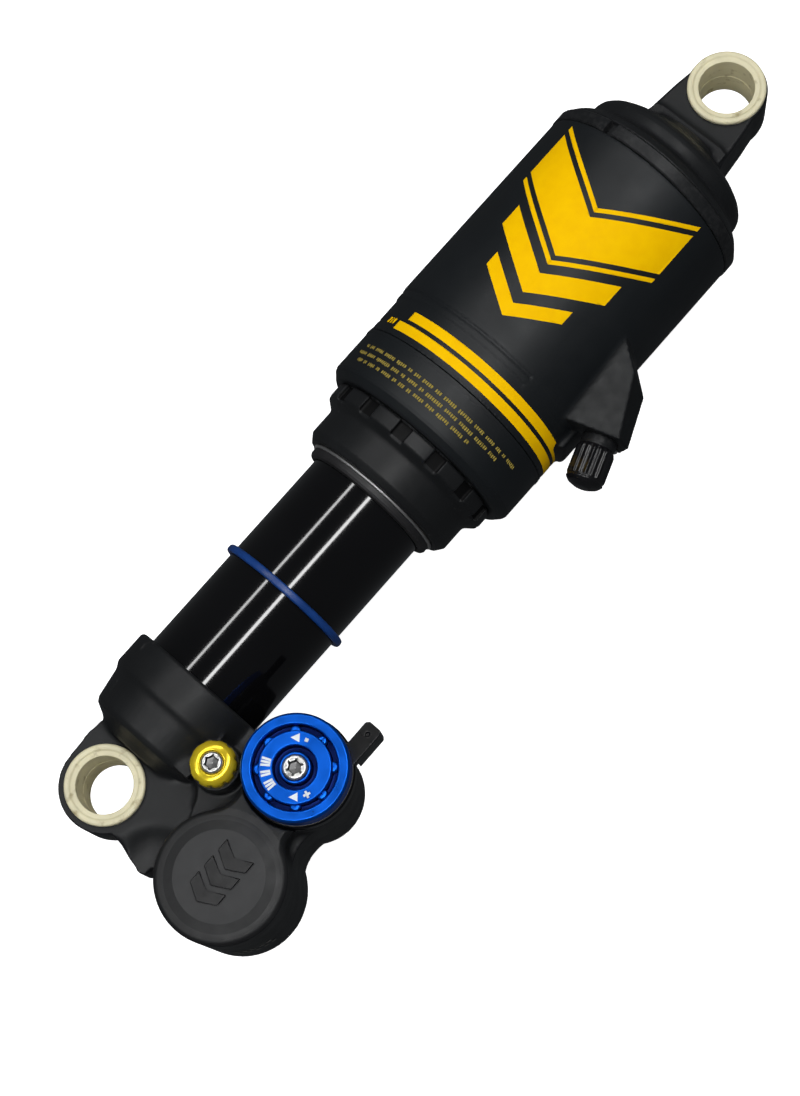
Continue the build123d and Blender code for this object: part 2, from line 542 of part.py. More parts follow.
def make_top_cap():
    """Upper eye, its stepped plate and the domed cap that closes the air can."""
    lug_edge = 0.6
    cap = turned_x([
        (171, CAN_R), (171, SLEEVE_BORE_R), (174, SLEEVE_BORE_R), (174, 23.2), (176.2, 23.2),
        (176.2, SLEEVE_BORE_R), (CAP_SKIRT_TOP, SLEEVE_BORE_R), (CAP_SKIRT_TOP, 25.5),
        (182.4, 25.2), (183.6, 24.2), (184.5, 22.8), (185.0, 21.8), (185.6, 21.3), (186.6, 21.3),
        (188.1, 21.2), (189.3, 20.8), (190.4, 19.8), (191.5, 18.0), (192.5, 15.6), (193.3, 13.2),
        (194.1, 11.4), (195.6, 10.2), (195.6, 0), (192, 0), (192, SHAFT_R), (182, SHAFT_R),
        (182, 8.6), (CAP_FLOOR, 8.6), (CAP_FLOOR, CAN_BORE_R), (CAN_TOP, CAN_BORE_R),
        (CAN_TOP, CAN_R)])
    eye = rod_z(-LUG_HALF, LUG_HALF, UPPER_LUG_R, (EYE_TO_EYE, 0))
    half_widths = [(189, 14.0), (193.6, 11.4), (196, 10.7), (200, 10.3), (204, 9.9), (208, 9.3)]
    plate = prism([(x, -y) for x, y in half_widths] + [(x, y) for x, y in half_widths[::-1]],
                  -LUG_HALF, LUG_HALF)
    steps = []
    for reach, half in ((197.9, 6.9), (193.9, 8.2)):
        width = 10.3
        steps.append(prism([(190, -width), (reach - 0.6, -width), (reach, -width + 2),
                            (reach, width - 2), (reach - 0.6, width), (190, width)], -half, half))
    lug = eye + plate
    lug = fillet(lug.edges().group_by(Axis.Z)[0], lug_edge)
    lug = fillet(lug.edges().group_by(Axis.Z)[-1], lug_edge)
    solid = cap + lug + steps[0] + steps[1]
    cuts = rod_z(-20, 20, BUSH_SLEEVE_R, (EYE_TO_EYE, 0)) + ring_x(180, 192, 0, SHAFT_R)
    parts["top_cap"] = solid - cuts


# ---- air valve ----------------------------------------------------------------------------
BOSS_HIGH = (148.0, -22.2, 13.2)    # where the boss rises out of the sleeve, knob side
BOSS_RIDGE = (143.3, -28.7, 11.5)
BOSS_END = (129.9, -35.5, 9.0)
BOSS_FOOT = (125.6, -23.6, 11.0)
BOSS_MIDDLE = (142.0, -32.4, VALVE_Z)


def mirrored(point):
    """The same point on the other side of the valve's plane."""
    return (point[0], point[1], 2 * VALVE_Z - point[2])


VALVE_ALONG = 8.1                   # valve axis, outwards from the boss's foot
PLUG_ALONG, PLUG_DROP = 11.2, -3.9


def valve_plane(along, out=0.0, dz=0.0):
    """Plane on the boss's end face: along runs outwards from its foot, +Z leaves the boss."""
    face = Vector(BOSS_END[0] - BOSS_FOOT[0], BOSS_END[1] - BOSS_FOOT[1], 0).normalized()
    outward = Vector(face.Y, -face.X, 0)
    origin = Vector(BOSS_FOOT[0], BOSS_FOOT[1], VALVE_Z + dz) + face * along + outward * out
    return Plane(origin=origin, x_dir=face, z_dir=outward)


def half_space(a, b, c, inside):
    """Large block on the inner side of the plane through three points."""
    corner = Vector(*a)
    normal = (Vector(*b) - corner).cross(Vector(*c) - corner).normalized()
    if normal.dot(Vector(*inside) - corner) < 0:
        normal = -normal
    return Plane(origin=corner, z_dir=normal) * Pos(0, 0, 60) * Box(120, 120, 120)


def valve_boss():
    """Faceted boss on the sleeve's side, the same above and below the valve's plane."""
    inside = (135.0, -26.0, VALVE_Z)
    boss = Pos(138, -29, VALVE_Z) * Box(36, 26, 26)
    facets = [
        (BOSS_HIGH, BOSS_FOOT, BOSS_END),
        (BOSS_RIDGE, BOSS_END, BOSS_MIDDLE),
        (BOSS_HIGH, BOSS_RIDGE, BOSS_MIDDLE),
    ]
    for a, b, c in facets:
        boss = boss & half_space(a, b, c, inside)
        boss = boss & half_space(mirrored(a), mirrored(b), mirrored(c), inside)
    boss = boss & half_space(BOSS_FOOT, mirrored(BOSS_FOOT), BOSS_END, inside)
    pad = ring_x(121, 131, SLEEVE_BORE_R, 26.8, 0.6) & (Pos(126, -26, -2) * Box(14, 8, 14))
    return boss + pad - ring_x(115, 160, 0, SLEEVE_BORE_R + 0.4)


def valve_bores():
    """Seat of the valve stem, the air port behind it and the plug screw's hole."""
    cuts = valve_plane(VALVE_ALONG, -9.0) * Pos(0, 0, 5) * Cylinder(VALVE_R, 10)
    cuts += rod_between((136.0, -27.6, VALVE_Z), (136.0, -23.0, VALVE_Z), 1.0)
    cuts += valve_plane(PLUG_ALONG, -3.6, PLUG_DROP) * Pos(0, 0, 2.5) * Cylinder(0.8, 5)
    return cuts


def turned_valve(points, along=VALVE_ALONG, dz=0.0):
    """Solid of revolution standing on the boss's end face; points are (radius, height)."""
    outline = make_face(Polyline(*[(r, 0, z) for r, z in points], close=True))
    return valve_plane(along, 0, dz).location * revolve(outline, Axis.Z)


def make_valve():
    parts["valve_stem"] = turned_valve([
        (VALVE_CORE_R, -9), (VALVE_R, -9), (VALVE_R, 0), (4.0, 0), (4.0, 1.4), (VALVE_R, 1.8),
        (VALVE_R, 8.8), (3.5, 9.2), (VALVE_CORE_R, 9.2)])
    parts["valve_core"] = turned_valve([
        (0.87, -6), (VALVE_CORE_R, -6), (VALVE_CORE_R, 8.2), (1.9, 8.2), (1.9, 4.0), (0.87, 4.0),
        (0.87, 3.2), (1.9, 3.2), (1.9, -4.0), (0.87, -4.0)])
    parts["valve_pin"] = turned_valve([
        (0, -7.6), (1.6, -7.6), (2.2, -7.0), (2.2, -6.4), (0.8, -6.1), (0.8, 8.4), (0, 8.4)])
    spring = valve_plane(VALVE_ALONG).location * Pos(0, 0, -3.9) * coil(1.45, 0.2, 6.4, 6)
    parts["valve_spring"] = joined([spring])
    parts["valve_cap"] = valve_cap()
    parts["port_plug_screw"] = turned_valve([
        (0, -3.6), (0.8, -3.6), (0.8, 0), (1.0, 0), (1.0, 0.6), (0.8, 0.8), (0, 0.8)],
        PLUG_ALONG, PLUG_DROP)


def valve_cap():
    """Knurled dust cap, pulled off along the valve."""
    low, high = 2.2, 12.0
    ribs = 18
    cap = turned_valve([
        (VALVE_R + RUN, low), (VALVE_CAP_R - 0.5, low), (VALVE_CAP_R, low + 0.9),
        (VALVE_CAP_R, high - 1.6), (VALVE_CAP_R - 0.5, high - 0.6), (VALVE_CAP_R - 1.3, high),
        (0, high), (0, high - 1.4), (VALVE_R + RUN, high - 1.4)])
    flute = Pos(VALVE_CAP_R + 0.3, 0, (low + high) / 2 - 0.6) * Cylinder(0.5, high - low - 2.4)
    for index in range(ribs):
        cap -= valve_plane(VALVE_ALONG).location * Rot(0, 0, 360 / ribs * index) * flute
    return cap


def main():
    make_bushes()
    make_head()
    make_damper()
    make_shaft()
    make_reservoir()
    make_compression()
    make_rebound()
    make_sag_ring()
    make_seal_head()
    make_cans()
    make_top_cap()
    make_valve()
    os.makedirs("parts", exist_ok=True)
    for name, shape in parts.items():
        export_step(shape, f"parts/{name}.step")
    print(len(parts), "nodes written")


main()
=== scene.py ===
import json
import math
import random

import bmesh
import bpy
import numpy as np
from mathutils import Matrix, Vector

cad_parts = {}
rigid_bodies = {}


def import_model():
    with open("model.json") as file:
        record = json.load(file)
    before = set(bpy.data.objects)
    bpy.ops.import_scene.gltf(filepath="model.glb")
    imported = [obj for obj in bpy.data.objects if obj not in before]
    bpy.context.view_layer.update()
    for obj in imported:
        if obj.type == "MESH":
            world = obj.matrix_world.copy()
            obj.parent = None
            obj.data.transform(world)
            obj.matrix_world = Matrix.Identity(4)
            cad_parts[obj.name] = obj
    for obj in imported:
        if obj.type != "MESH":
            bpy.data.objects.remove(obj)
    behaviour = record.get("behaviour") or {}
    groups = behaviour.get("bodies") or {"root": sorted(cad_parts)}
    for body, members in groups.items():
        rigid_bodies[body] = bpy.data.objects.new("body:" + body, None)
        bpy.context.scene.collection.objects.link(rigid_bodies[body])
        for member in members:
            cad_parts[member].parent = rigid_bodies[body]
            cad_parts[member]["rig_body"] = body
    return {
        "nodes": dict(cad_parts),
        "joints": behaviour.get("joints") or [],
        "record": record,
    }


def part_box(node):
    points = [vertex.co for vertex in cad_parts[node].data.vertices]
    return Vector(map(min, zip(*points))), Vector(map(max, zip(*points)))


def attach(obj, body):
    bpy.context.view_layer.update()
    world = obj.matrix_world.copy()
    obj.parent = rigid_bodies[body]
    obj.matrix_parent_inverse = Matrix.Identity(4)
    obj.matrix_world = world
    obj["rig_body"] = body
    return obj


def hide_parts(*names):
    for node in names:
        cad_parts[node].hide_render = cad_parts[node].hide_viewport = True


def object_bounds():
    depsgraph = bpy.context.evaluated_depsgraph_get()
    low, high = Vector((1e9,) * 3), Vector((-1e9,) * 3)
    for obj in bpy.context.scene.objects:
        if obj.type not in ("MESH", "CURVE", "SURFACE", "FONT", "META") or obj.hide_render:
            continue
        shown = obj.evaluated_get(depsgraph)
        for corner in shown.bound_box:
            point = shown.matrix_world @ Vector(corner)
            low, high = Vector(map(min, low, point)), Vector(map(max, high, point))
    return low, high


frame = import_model()
cad_box = [list(corner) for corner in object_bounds()]

# Everything below is in millimetres in the row frame, and MM turns it into metres.
# X runs along the shock from the lower eye to the upper one, Z along the bores.
MM = 0.001
RECORD = frame["record"]
UPPER_EYE_X = RECORD["mounts"][1]["pos_m"][0] / MM


def cad_box_mm(node):
    low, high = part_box(node)
    return low / MM, high / MM


def joint(name):
    return next(j for j in frame["joints"] if j["name"] == name)


def joint_centre(name):
    return Vector(joint(name)["pos_m"]) / MM


KNOB_AT = joint_centre("lsc_knob_turn")
REBOUND_AT = joint_centre("rebound_knob_turn")
CAP_LOW, CAP_HIGH = cad_box_mm("reservoir_cap")
CAP_R = (CAP_HIGH.x - CAP_LOW.x) / 2
RESERVOIR_AT = (CAP_LOW + CAP_HIGH) / 2
BARREL_R = 14.4
SLEEVE_LOW, SLEEVE_HIGH = cad_box_mm("main_sleeve")
SLEEVE_R = SLEEVE_HIGH.z
VALVE_AXIS = Vector(joint("valve_cap_pull")["axis"])
INK_THICK = 0.04
INK_GAP = 0.01


# ---- materials ----------------------------------------------------------------------------
class Maker:
    """Builds one node material around a Principled shader."""

    def __init__(self, name, color, roughness, metallic=0.0):
        self.material = bpy.data.materials.new(name)
        self.material.use_nodes = True
        self.nodes = self.material.node_tree.nodes
        self.links = self.material.node_tree.links
        self.shader = self.nodes["Principled BSDF"]
        self.shader.inputs["Metallic"].default_value = metallic
        self.shader.inputs["Roughness"].default_value = roughness
        self.shader.inputs["Base Color"].default_value = (*color, 1)
        self.color = color
        self.place = self.nodes.new("ShaderNodeTexCoord").outputs["Object"]

    def link(self, source, target):
        self.links.new(source, target)

    def noise(self, scale, detail=3.0, stretch=None):
        """Noise in object space; scale counts features per metre, stretch squeezes an axis."""
        node = self.nodes.new("ShaderNodeTexNoise")
        node.inputs["Scale"].default_value = scale
        node.inputs["Detail"].default_value = detail
        source = self.place
        if stretch:
            mapping = self.nodes.new("ShaderNodeMapping")
            mapping.inputs["Scale"].default_value = stretch
            self.link(source, mapping.inputs["Vector"])
            source = mapping.outputs["Vector"]
        self.link(source, node.inputs["Vector"])
        return node.outputs["Fac"]

    def ramp(self, source, low, high, first, last):
        """A colour ramp from first to last colour as source runs from low to high."""
        node = self.nodes.new("ShaderNodeValToRGB")
        node.color_ramp.elements[0].position = low
        node.color_ramp.elements[1].position = high
        node.color_ramp.elements[0].color = (*first, 1)
        node.color_ramp.elements[1].color = (*last, 1)
        self.link(source, node.inputs["Fac"])
        return node.outputs["Color"]

    def remap(self, source, low, high, out_low, out_high):
        node = self.nodes.new("ShaderNodeMapRange")
        node.inputs["From Min"].default_value = low
        node.inputs["From Max"].default_value = high
        node.inputs["To Min"].default_value = out_low
        node.inputs["To Max"].default_value = out_high
        self.link(source, node.inputs["Value"])
        return node.outputs["Result"]

    def vary_color(self, scale, amount, detail=3.0):
        """The base colour drifts lighter and darker by amount."""
        dark = [c * (1 - amount) for c in self.color]
        light = [min(1.0, c * (1 + amount)) for c in self.color]
        blend = self.ramp(self.noise(scale, detail), 0.3, 0.7, dark, light)
        self.link(blend, self.shader.inputs["Base Color"])
        return blend

    def vary_roughness(self, scale, low, high, stretch=None):
        value = self.remap(self.noise(scale, 4.0, stretch), 0.3, 0.7, low, high)
        self.link(value, self.shader.inputs["Roughness"])

    def bump(self, height, distance, strength):
        node = self.nodes.new("ShaderNodeBump")
        node.inputs["Strength"].default_value = strength
        node.inputs["Distance"].default_value = distance
        self.link(height, node.inputs["Height"])
        self.link(node.outputs["Normal"], self.shader.inputs["Normal"])

    def worn_edges(self, color, base):
        """Edges that stick out show a little of the colour below."""
        start, full = 0.54, 0.62
        point = self.nodes.new("ShaderNodeNewGeometry").outputs["Pointiness"]
        patchy = self.nodes.new("ShaderNodeMath")
        patchy.operation = "MULTIPLY"
        self.link(self.remap(point, start, full, 0, 1), patchy.inputs[0])
        self.link(self.remap(self.noise(900, 4.0), 0.45, 0.65, 0, 1), patchy.inputs[1])
        mix = self.nodes.new("ShaderNodeMixRGB")
        mix.inputs["Color2"].default_value = (*color, 1)
        self.link(patchy.outputs["Value"], mix.inputs["Fac"])
        self.link(base, mix.inputs["Color1"])
        self.link(mix.outputs["Color"], self.shader.inputs["Base Color"])


def matte_black_anodise():
    m = Maker("matte_black_anodise", (0.0095, 0.0103, 0.0112), 0.45)
    m.shader.inputs["Specular IOR Level"].default_value = 0.28
    base = m.vary_color(60, 0.16)
    m.worn_edges((0.035, 0.035, 0.036), base)
    m.vary_roughness(220, 0.40, 0.50)
    m.bump(m.noise(5200, 3.0), 0.00004, 0.35)
    return m.material


def sleeve_black():
    m = Maker("sleeve_black", (0.0062, 0.0079, 0.0094), 0.5)
    m.shader.inputs["Specular IOR Level"].default_value = 0.4
    m.vary_color(45, 0.12)
    m.vary_roughness(160, 0.46, 0.56)
    m.bump(m.noise(4000, 2.0, (0.25, 1, 1)), 0.00003, 0.25)
    return m.material


def cap_grey():
    m = Maker("cap_grey_anodise", (0.0145, 0.0150, 0.0163), 0.55)
    m.vary_color(90, 0.14)
    m.vary_roughness(260, 0.5, 0.6)
    m.bump(m.noise(6000, 3.0), 0.00004, 0.4)
    return m.material


def soft_black(name, color, roughness, shine=0.5):
    """Black without worn edges: the raised motif, and darker copies that paint shade on the
    sloped rim and the floors of the notches.
    """
    m = Maker(name, color, roughness)
    m.shader.inputs["Specular IOR Level"].default_value = shine
    m.vary_color(120, 0.15)
    m.vary_roughness(400, roughness * 0.88, roughness * 1.12)
    m.bump(m.noise(5000, 2.0), 0.00003, 0.3)
    return m.material


def gloss_black_coating():
    m = Maker("gloss_black_coating", (0.0022, 0.0022, 0.0026), 0.09)
    m.vary_color(40, 0.25)
    m.vary_roughness(60, 0.075, 0.11, (0.15, 1, 1))
    m.bump(m.noise(120, 2.0, (0.1, 1, 1)), 0.000002, 0.1)
    m.shader.inputs["Coat Weight"].default_value = 0.3
    m.shader.inputs["Coat Roughness"].default_value = 0.03
    return m.material


def coloured_anodise(name, color, roughness, metallic=0.9):
    m = Maker(name, color, roughness, metallic)
    m.vary_color(110, 0.10)
    m.vary_roughness(300, roughness * 0.85, roughness * 1.2)
    m.bump(m.noise(1100, 2.0), 0.00002, 0.1)
    return m.material


def rubber(name, color, roughness=0.55):
    m = Maker(name, color, roughness)
    m.vary_color(200, 0.2)
    m.vary_roughness(500, roughness * 0.88, roughness * 1.12)
    m.bump(m.noise(3000, 4.0), 0.00005, 0.3)
    return m.material


def cream_polymer():
    m = Maker("cream_polymer", (0.74, 0.69, 0.47), 0.38)
    base = m.vary_color(130, 0.10)
    stain = m.ramp(m.noise(420, 5.0), 0.58, 0.75, (1, 1, 1), (0.42, 0.36, 0.22))
    mix = m.nodes.new("ShaderNodeMixRGB")
    mix.blend_type = "MULTIPLY"
    mix.inputs["Fac"].default_value = 0.8
    m.link(base, mix.inputs["Color1"])
    m.link(stain, mix.inputs["Color2"])
    m.link(mix.outputs["Color"], m.shader.inputs["Base Color"])
    m.vary_roughness(600, 0.32, 0.46)
    m.bump(m.noise(1800, 4.0), 0.00005, 0.35)
    m.shader.inputs["Subsurface Weight"].default_value = 0.08
    m.shader.inputs["Subsurface Radius"].default_value = (0.001, 0.0008, 0.0005)
    return m.material


def metal(name, color, roughness, stretch=(1, 1, 14)):
    m = Maker(name, color, roughness, 1.0)
    m.vary_color(300, 0.07)
    m.vary_roughness(900, roughness * 0.8, roughness * 1.3, stretch)
    m.bump(m.noise(2200, 3.0, stretch), 0.00002, 0.25)
    return m.material


def plastic(name, color, roughness):
    m = Maker(name, color, roughness)
    m.vary_color(260, 0.12)
    m.vary_roughness(420, roughness * 0.85, roughness * 1.2)
    m.bump(m.noise(1500, 3.0), 0.00003, 0.3)
    return m.material


def ink(name, color, roughness=0.42, shine=0.2):
    """Printed paint: slightly uneven, with a fine grain."""
    m = Maker(name, color, roughness)
    m.shader.inputs["Specular IOR Level"].default_value = shine
    m.vary_color(350, 0.05, 5.0)
    m.vary_roughness(700, roughness * 0.85, roughness * 1.15)
    m.bump(m.noise(5200, 3.0), 0.00003, 0.3)
    return m.material


LOOKS = {
    "matte_black_anodise": matte_black_anodise(),
    "sleeve_black": sleeve_black(),
    "cap_grey_anodise": cap_grey(),
    "motif_black": soft_black("motif_black", (0.0075, 0.0075, 0.0082), 0.34),
    # A darker copy of the black: painted shade on the sloped rims.
    "rim_painted_shade": soft_black("rim_painted_shade", (0.0066, 0.0070, 0.0078), 0.52),
    # Near-black copy: painted shade on the floors of the notches.
    "notch_painted_shade": soft_black("notch_painted_shade", (0.0026, 0.0027, 0.0029), 0.6, 0.15),
    # A darker copy of the sleeve's black: painted shade on the valve boss.
    "boss_painted_shade": soft_black("boss_painted_shade", (0.0046, 0.0056, 0.0064), 0.5, 0.32),
    "lever_black": soft_black("lever_black", (0.0030, 0.0031, 0.0036), 0.30, 0.3),
    "gloss_black_coating": gloss_black_coating(),
    "blue_anodise": coloured_anodise("blue_anodise", (0.003, 0.115, 0.66), 0.32),
    # A darker copy of the blue: painted shade in the knob's groove and hub.
    "blue_painted_shade": coloured_anodise("blue_painted_shade", (0.002, 0.012, 0.10), 0.35),
    "gold_anodise": coloured_anodise("gold_anodise", (1.0, 0.70, 0.03), 0.2, metallic=0.6),
    "blue_rubber": rubber("blue_rubber", (0.005, 0.040, 0.19), 0.36),
    "cream_polymer": cream_polymer(),
    "black_rubber": rubber("black_rubber", (0.012, 0.012, 0.013)),
    "bearing_polymer": plastic("bearing_polymer", (0.25, 0.16, 0.08), 0.5),
    "cap_plastic": plastic("cap_plastic", (0.006, 0.006, 0.007), 0.16),
    "spacer_plastic": plastic("spacer_plastic", (0.42, 0.05, 0.04), 0.45),
    "steel": metal("steel", (0.62, 0.62, 0.62), 0.28),
    "screw_steel": metal("screw_steel", (0.80, 0.80, 0.78), 0.30, (1, 1, 1)),
    "wire_steel": metal("wire_steel", (0.5, 0.5, 0.5), 0.5),
    # A dark copy of the steel: painted shade inside the screws' sockets.
    "socket_painted_shade": metal("socket_painted_shade", (0.16, 0.16, 0.16), 0.4),
    "chromed_steel": metal("chromed_steel", (0.66, 0.66, 0.68), 0.08),
    "machined_aluminium": metal("machined_aluminium", (0.62, 0.62, 0.63), 0.32),
    "brass": metal("brass", (0.66, 0.46, 0.16), 0.25),
    "yellow_ink": ink("yellow_ink", (1.0, 0.56, 0.0001), 0.6, 0.04),
    "olive_ink": ink("olive_ink", (0.34, 0.26, 0.05)),
    "white_ink": ink("white_ink", (0.80, 0.84, 0.88)),
    "grey_ink": ink("grey_ink", (0.085, 0.085, 0.08)),
}
SLOT_OF = {s["node"]: s["material_slot"] for s in RECORD["subparts"]}


# ---- mesh helpers -------------------------------------------------------------------------
EASE = 0.6


def dress(obj, look):
    obj.data.materials.clear()
    obj.data.materials.append(LOOKS[look])


def second_look(obj, look, chosen):
    """Gives a second look to the faces for which chosen(centre in mm, normal) holds."""
    obj.data.materials.append(LOOKS[look])
    for polygon in obj.data.polygons:
        if chosen(polygon.center / MM, polygon.normal):
            polygon.material_index = 1


def weigh_normals(obj):
    obj.data.shade_smooth()
    modifier = obj.modifiers.new("normals", "WEIGHTED_NORMAL")
    modifier.keep_sharp = True
    modifier.weight = 80


def piece(name, bm, body, look, replaced=(), slot=None):
    """A finished piece from a bmesh in millimetres."""
    bmesh.ops.recalc_face_normals(bm, faces=bm.faces)
    bmesh.ops.scale(bm, vec=(MM, MM, MM), verts=bm.verts)
    mesh = bpy.data.meshes.new(name)
    bm.to_mesh(mesh)
    bm.free()
    obj = bpy.data.objects.new(name, mesh)
    bpy.context.scene.collection.objects.link(obj)
    weigh_normals(obj)
    dress(obj, look)
    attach(obj, body)
    if replaced:
        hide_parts(*replaced)
    return obj


def rounded(corners, radius, steps=4):
    """The closed outline with each corner turned into an arc of about that radius."""
    points = []
    count = len(corners)
    for index, corner in enumerate(corners):
        corner = Vector(corner)
        back = Vector(corners[index - 1]) - corner
        ahead = Vector(corners[(index + 1) % count]) - corner
        reach = min(radius, back.length * 0.48, ahead.length * 0.48)
        start = corner + back.normalized() * reach
        end = corner + ahead.normalized() * reach
        for step in range(steps + 1):
            t = step / steps
            points.append((1 - t) ** 2 * start + 2 * t * (1 - t) * corner + t * t * end)
    return points


def lathe(bm, profile, axis, centre, segments=192, shape=None):
    """Turns a closed (along, radius) profile about X or Z; shape may change the radius."""
    rings = []
    for step in range(segments):
        angle = 2 * math.pi * step / segments
        ring = []
        for along, radius in profile:
            r = shape(along, radius, angle) if shape else radius
            if axis == "X":
                at = (along, centre[1] + r * math.sin(angle), centre[2] + r * math.cos(angle))
            else:
                at = (centre[0] + r * math.cos(angle), centre[1] + r * math.sin(angle), along)
            ring.append(bm.verts.new(at))
        rings.append(ring)
    count = len(profile)
    for step in range(segments):
        here, there = rings[step], rings[(step + 1) % segments]
        for index in range(count):
            after = (index + 1) % count
            bm.faces.new((here[index], here[after], there[after], there[index]))
    bmesh.ops.remove_doubles(bm, verts=bm.verts, dist=0.0005)


def turned(name, profile, body, look, axis="X", centre=(0, 0, 0), soft=0.3, segments=192,
           shape=None, **more):
    bm = bmesh.new()
    lathe(bm, rounded(profile, soft), axis, centre, segments, shape)
    return piece(name, bm, body, look, **more)


def read_points(mesh):
    flat = np.empty(len(mesh.vertices) * 3)
    mesh.vertices.foreach_get("co", flat)
    return flat.reshape(-1, 3)


def write_points(mesh, points):
    mesh.vertices.foreach_set("co", points.ravel())
    mesh.update()


class Neighbours:
    """The edges of a mesh, to find the mean place of each point's neighbours."""

    def __init__(self, mesh):
        self.count = len(mesh.vertices)
        ends = np.empty(len(mesh.edges) * 2, int)
        mesh.edges.foreach_get("vertices", ends)
        self.first, self.last = ends.reshape(-1, 2).T
        self.degree = np.bincount(ends, minlength=self.count)[:, None]

    def mean(self, points):
        sums = [np.bincount(self.first, points[self.last, k], self.count)
                + np.bincount(self.last, points[self.first, k], self.count) for k in range(3)]
        return np.stack(sums, 1) / self.degree


def fill_creases(mesh, rounds, keep):
    """Hollow corners fill up to soft fillets; a point only ever moves outwards.

    keep(points) says, for points in millimetres, which of them stay where they are.
    """
    rounds_per_normal = 6
    points = read_points(mesh)
    neighbours = Neighbours(mesh)
    free = ~keep(points / MM)
    normals = np.empty(points.size)
    for turn in range(rounds):
        if turn % rounds_per_normal == 0:
            write_points(mesh, points)
            mesh.vertices.foreach_get("normal", normals)
            out = normals.reshape(-1, 3)
        pull = neighbours.mean(points) - points
        rise = np.clip((pull * out).sum(1), 0, None) * free
        points += EASE * rise[:, None] * out
    write_points(mesh, points)


def relax(mesh, rounds, weight):
    """Points drift to the mean of their neighbours where weight(points in mm) is above 0."""
    points = read_points(mesh)
    neighbours = Neighbours(mesh)
    share = EASE * weight(points / MM)[:, None]
    for _ in range(rounds):
        points += share * (neighbours.mean(points) - points)
    write_points(mesh, points)


def softened(node, voxel, rounds, look, fillets=0, keep=None, snap=None):
    """The node's solid as one fine mesh with every edge eased, as a casting has.

    voxel is in millimetres, rounds and fillets count smoothing steps, keep and snap take
    points in millimetres: keep says which stay put, snap returns them at their true places.
    """
    source = frame["nodes"][node]
    bm = bmesh.new()
    bm.from_mesh(source.data)
    bmesh.ops.remove_doubles(bm, verts=bm.verts, dist=1e-7)
    mesh = bpy.data.meshes.new(node + "_draft")
    bm.to_mesh(mesh)
    bm.free()
    draft = bpy.data.objects.new(node + "_draft", mesh)
    bpy.context.scene.collection.objects.link(draft)
    remesh = draft.modifiers.new("voxels", "REMESH")
    remesh.mode = "VOXEL"
    remesh.voxel_size = voxel * MM
    smooth = draft.modifiers.new("ease", "SMOOTH")
    smooth.factor = 0.5
    smooth.iterations = rounds
    bpy.context.view_layer.update()
    depsgraph = bpy.context.evaluated_depsgraph_get()
    made = bpy.data.meshes.new_from_object(draft.evaluated_get(depsgraph))
    bpy.data.objects.remove(draft)
    if fillets:
        fill_creases(made, fillets, keep)
    points = read_points(made)
    if snap:
        points = snap(points / MM) * MM
    low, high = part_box(node)
    points = np.clip(points, np.array(low), np.array(high))
    made.vertices.foreach_set("co", points.ravel())
    obj = bpy.data.objects.new(node + "_finished", made)
    bpy.context.scene.collection.objects.link(obj)
    made.shade_smooth()
    dress(obj, look)
    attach(obj, source["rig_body"])
    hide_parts(node)
    return obj


def from_axis(points, centre, first=0, second=1):
    """Distance of each point from an axis through centre, in the plane of two coordinates."""
    return np.hypot(points[:, first] - centre[0], points[:, second] - centre[1])


def flat_patch(outlines, step, cut_axis):
    """Filled outlines on a plane, cut every step along one axis so that they can be bent."""
    bm = bmesh.new()
    for outline in outlines:
        bm.faces.new([bm.verts.new((u, v, 0)) for u, v in outline])
    bmesh.ops.triangulate(bm, faces=bm.faces)
    values = [v.co[cut_axis] for v in bm.verts]
    normal = Vector((0, 0, 0))
    normal[cut_axis] = 1
    cut = math.floor(min(values) / step) * step
    while cut < max(values):
        geometry = bm.verts[:] + bm.edges[:] + bm.faces[:]
        bmesh.ops.bisect_plane(bm, geom=geometry, plane_co=normal * cut, plane_no=normal)
        cut += step
    return bm


def thicken(bm, lift):
    """Closes a bent patch with a top raised by lift and side walls; lift maps a point up."""
    tops = {v: bm.verts.new(lift(v.co)) for v in bm.verts[:]}
    rims = [e for e in bm.edges if e.is_boundary]
    for face in bm.faces[:]:
        bm.faces.new([tops[v] for v in face.verts])
    for edge in rims:
        a, b = edge.verts
        bm.faces.new((a, b, tops[b], tops[a]))


def print_on_tube(name, outlines, radius, body, look, slot):
    """Ink on a tube about X. Outlines are (along X, arc length from +Z towards +Y)."""
    bm = flat_patch(outlines, 1.0, 1)
    for v in bm.verts:
        angle = v.co.y / radius
        v.co = (v.co.x, radius * math.sin(angle), radius * math.cos(angle))

    def lift(co):
        scale = 1 + INK_THICK / radius
        return Vector((co.x, co.y * scale, co.z * scale))

    thicken(bm, lift)
    return piece(name, bm, body, look, slot=slot)


def print_on_face(name, outlines, height, body, look, slot):
    """Ink on a flat face that looks along +Z at that height."""
    bm = flat_patch(outlines, 50.0, 0)
    for v in bm.verts:
        v.co.z = height
    thicken(bm, lambda co: Vector((co.x, co.y, co.z + INK_THICK)))
    return piece(name, bm, body, look, slot=slot)


# ---- bushes -------------------------------------------------------------------------------
def make_bushes():
    """Flanged bushes with a stepped face and rounded lips, one from each side of an eye."""
    for eye, body, x in (("lower", "head", 0.0), ("upper", "air_can", UPPER_EYE_X)):
        for half, side in (("front", 1), ("rear", -1)):
            node = f"{eye}_bush_{half}"
            low, high = cad_box_mm(node)
            outer = (high.x - low.x) / 2
            face = high.z if side > 0 else -low.z
            bore = RECORD["mounts"][0]["dims"]["r_mm"]
            step_r = bore + 1.1
            sleeve_r = bore + 1.15
            lug = face - 1.3
            edge, step = 0.35, 0.4
            profile = [
                (0, bore), (0, sleeve_r), (lug, sleeve_r), (lug, outer), (face - edge, outer),
                (face, outer - edge), (face, step_r + edge), (face - step, step_r),
                (face - step, bore)]
            turned(node + "_finished", [(side * z, r) for z, r in profile], body, "cream_polymer",
                   "Z", (x, 0, 0), 0.3, replaced=[node])


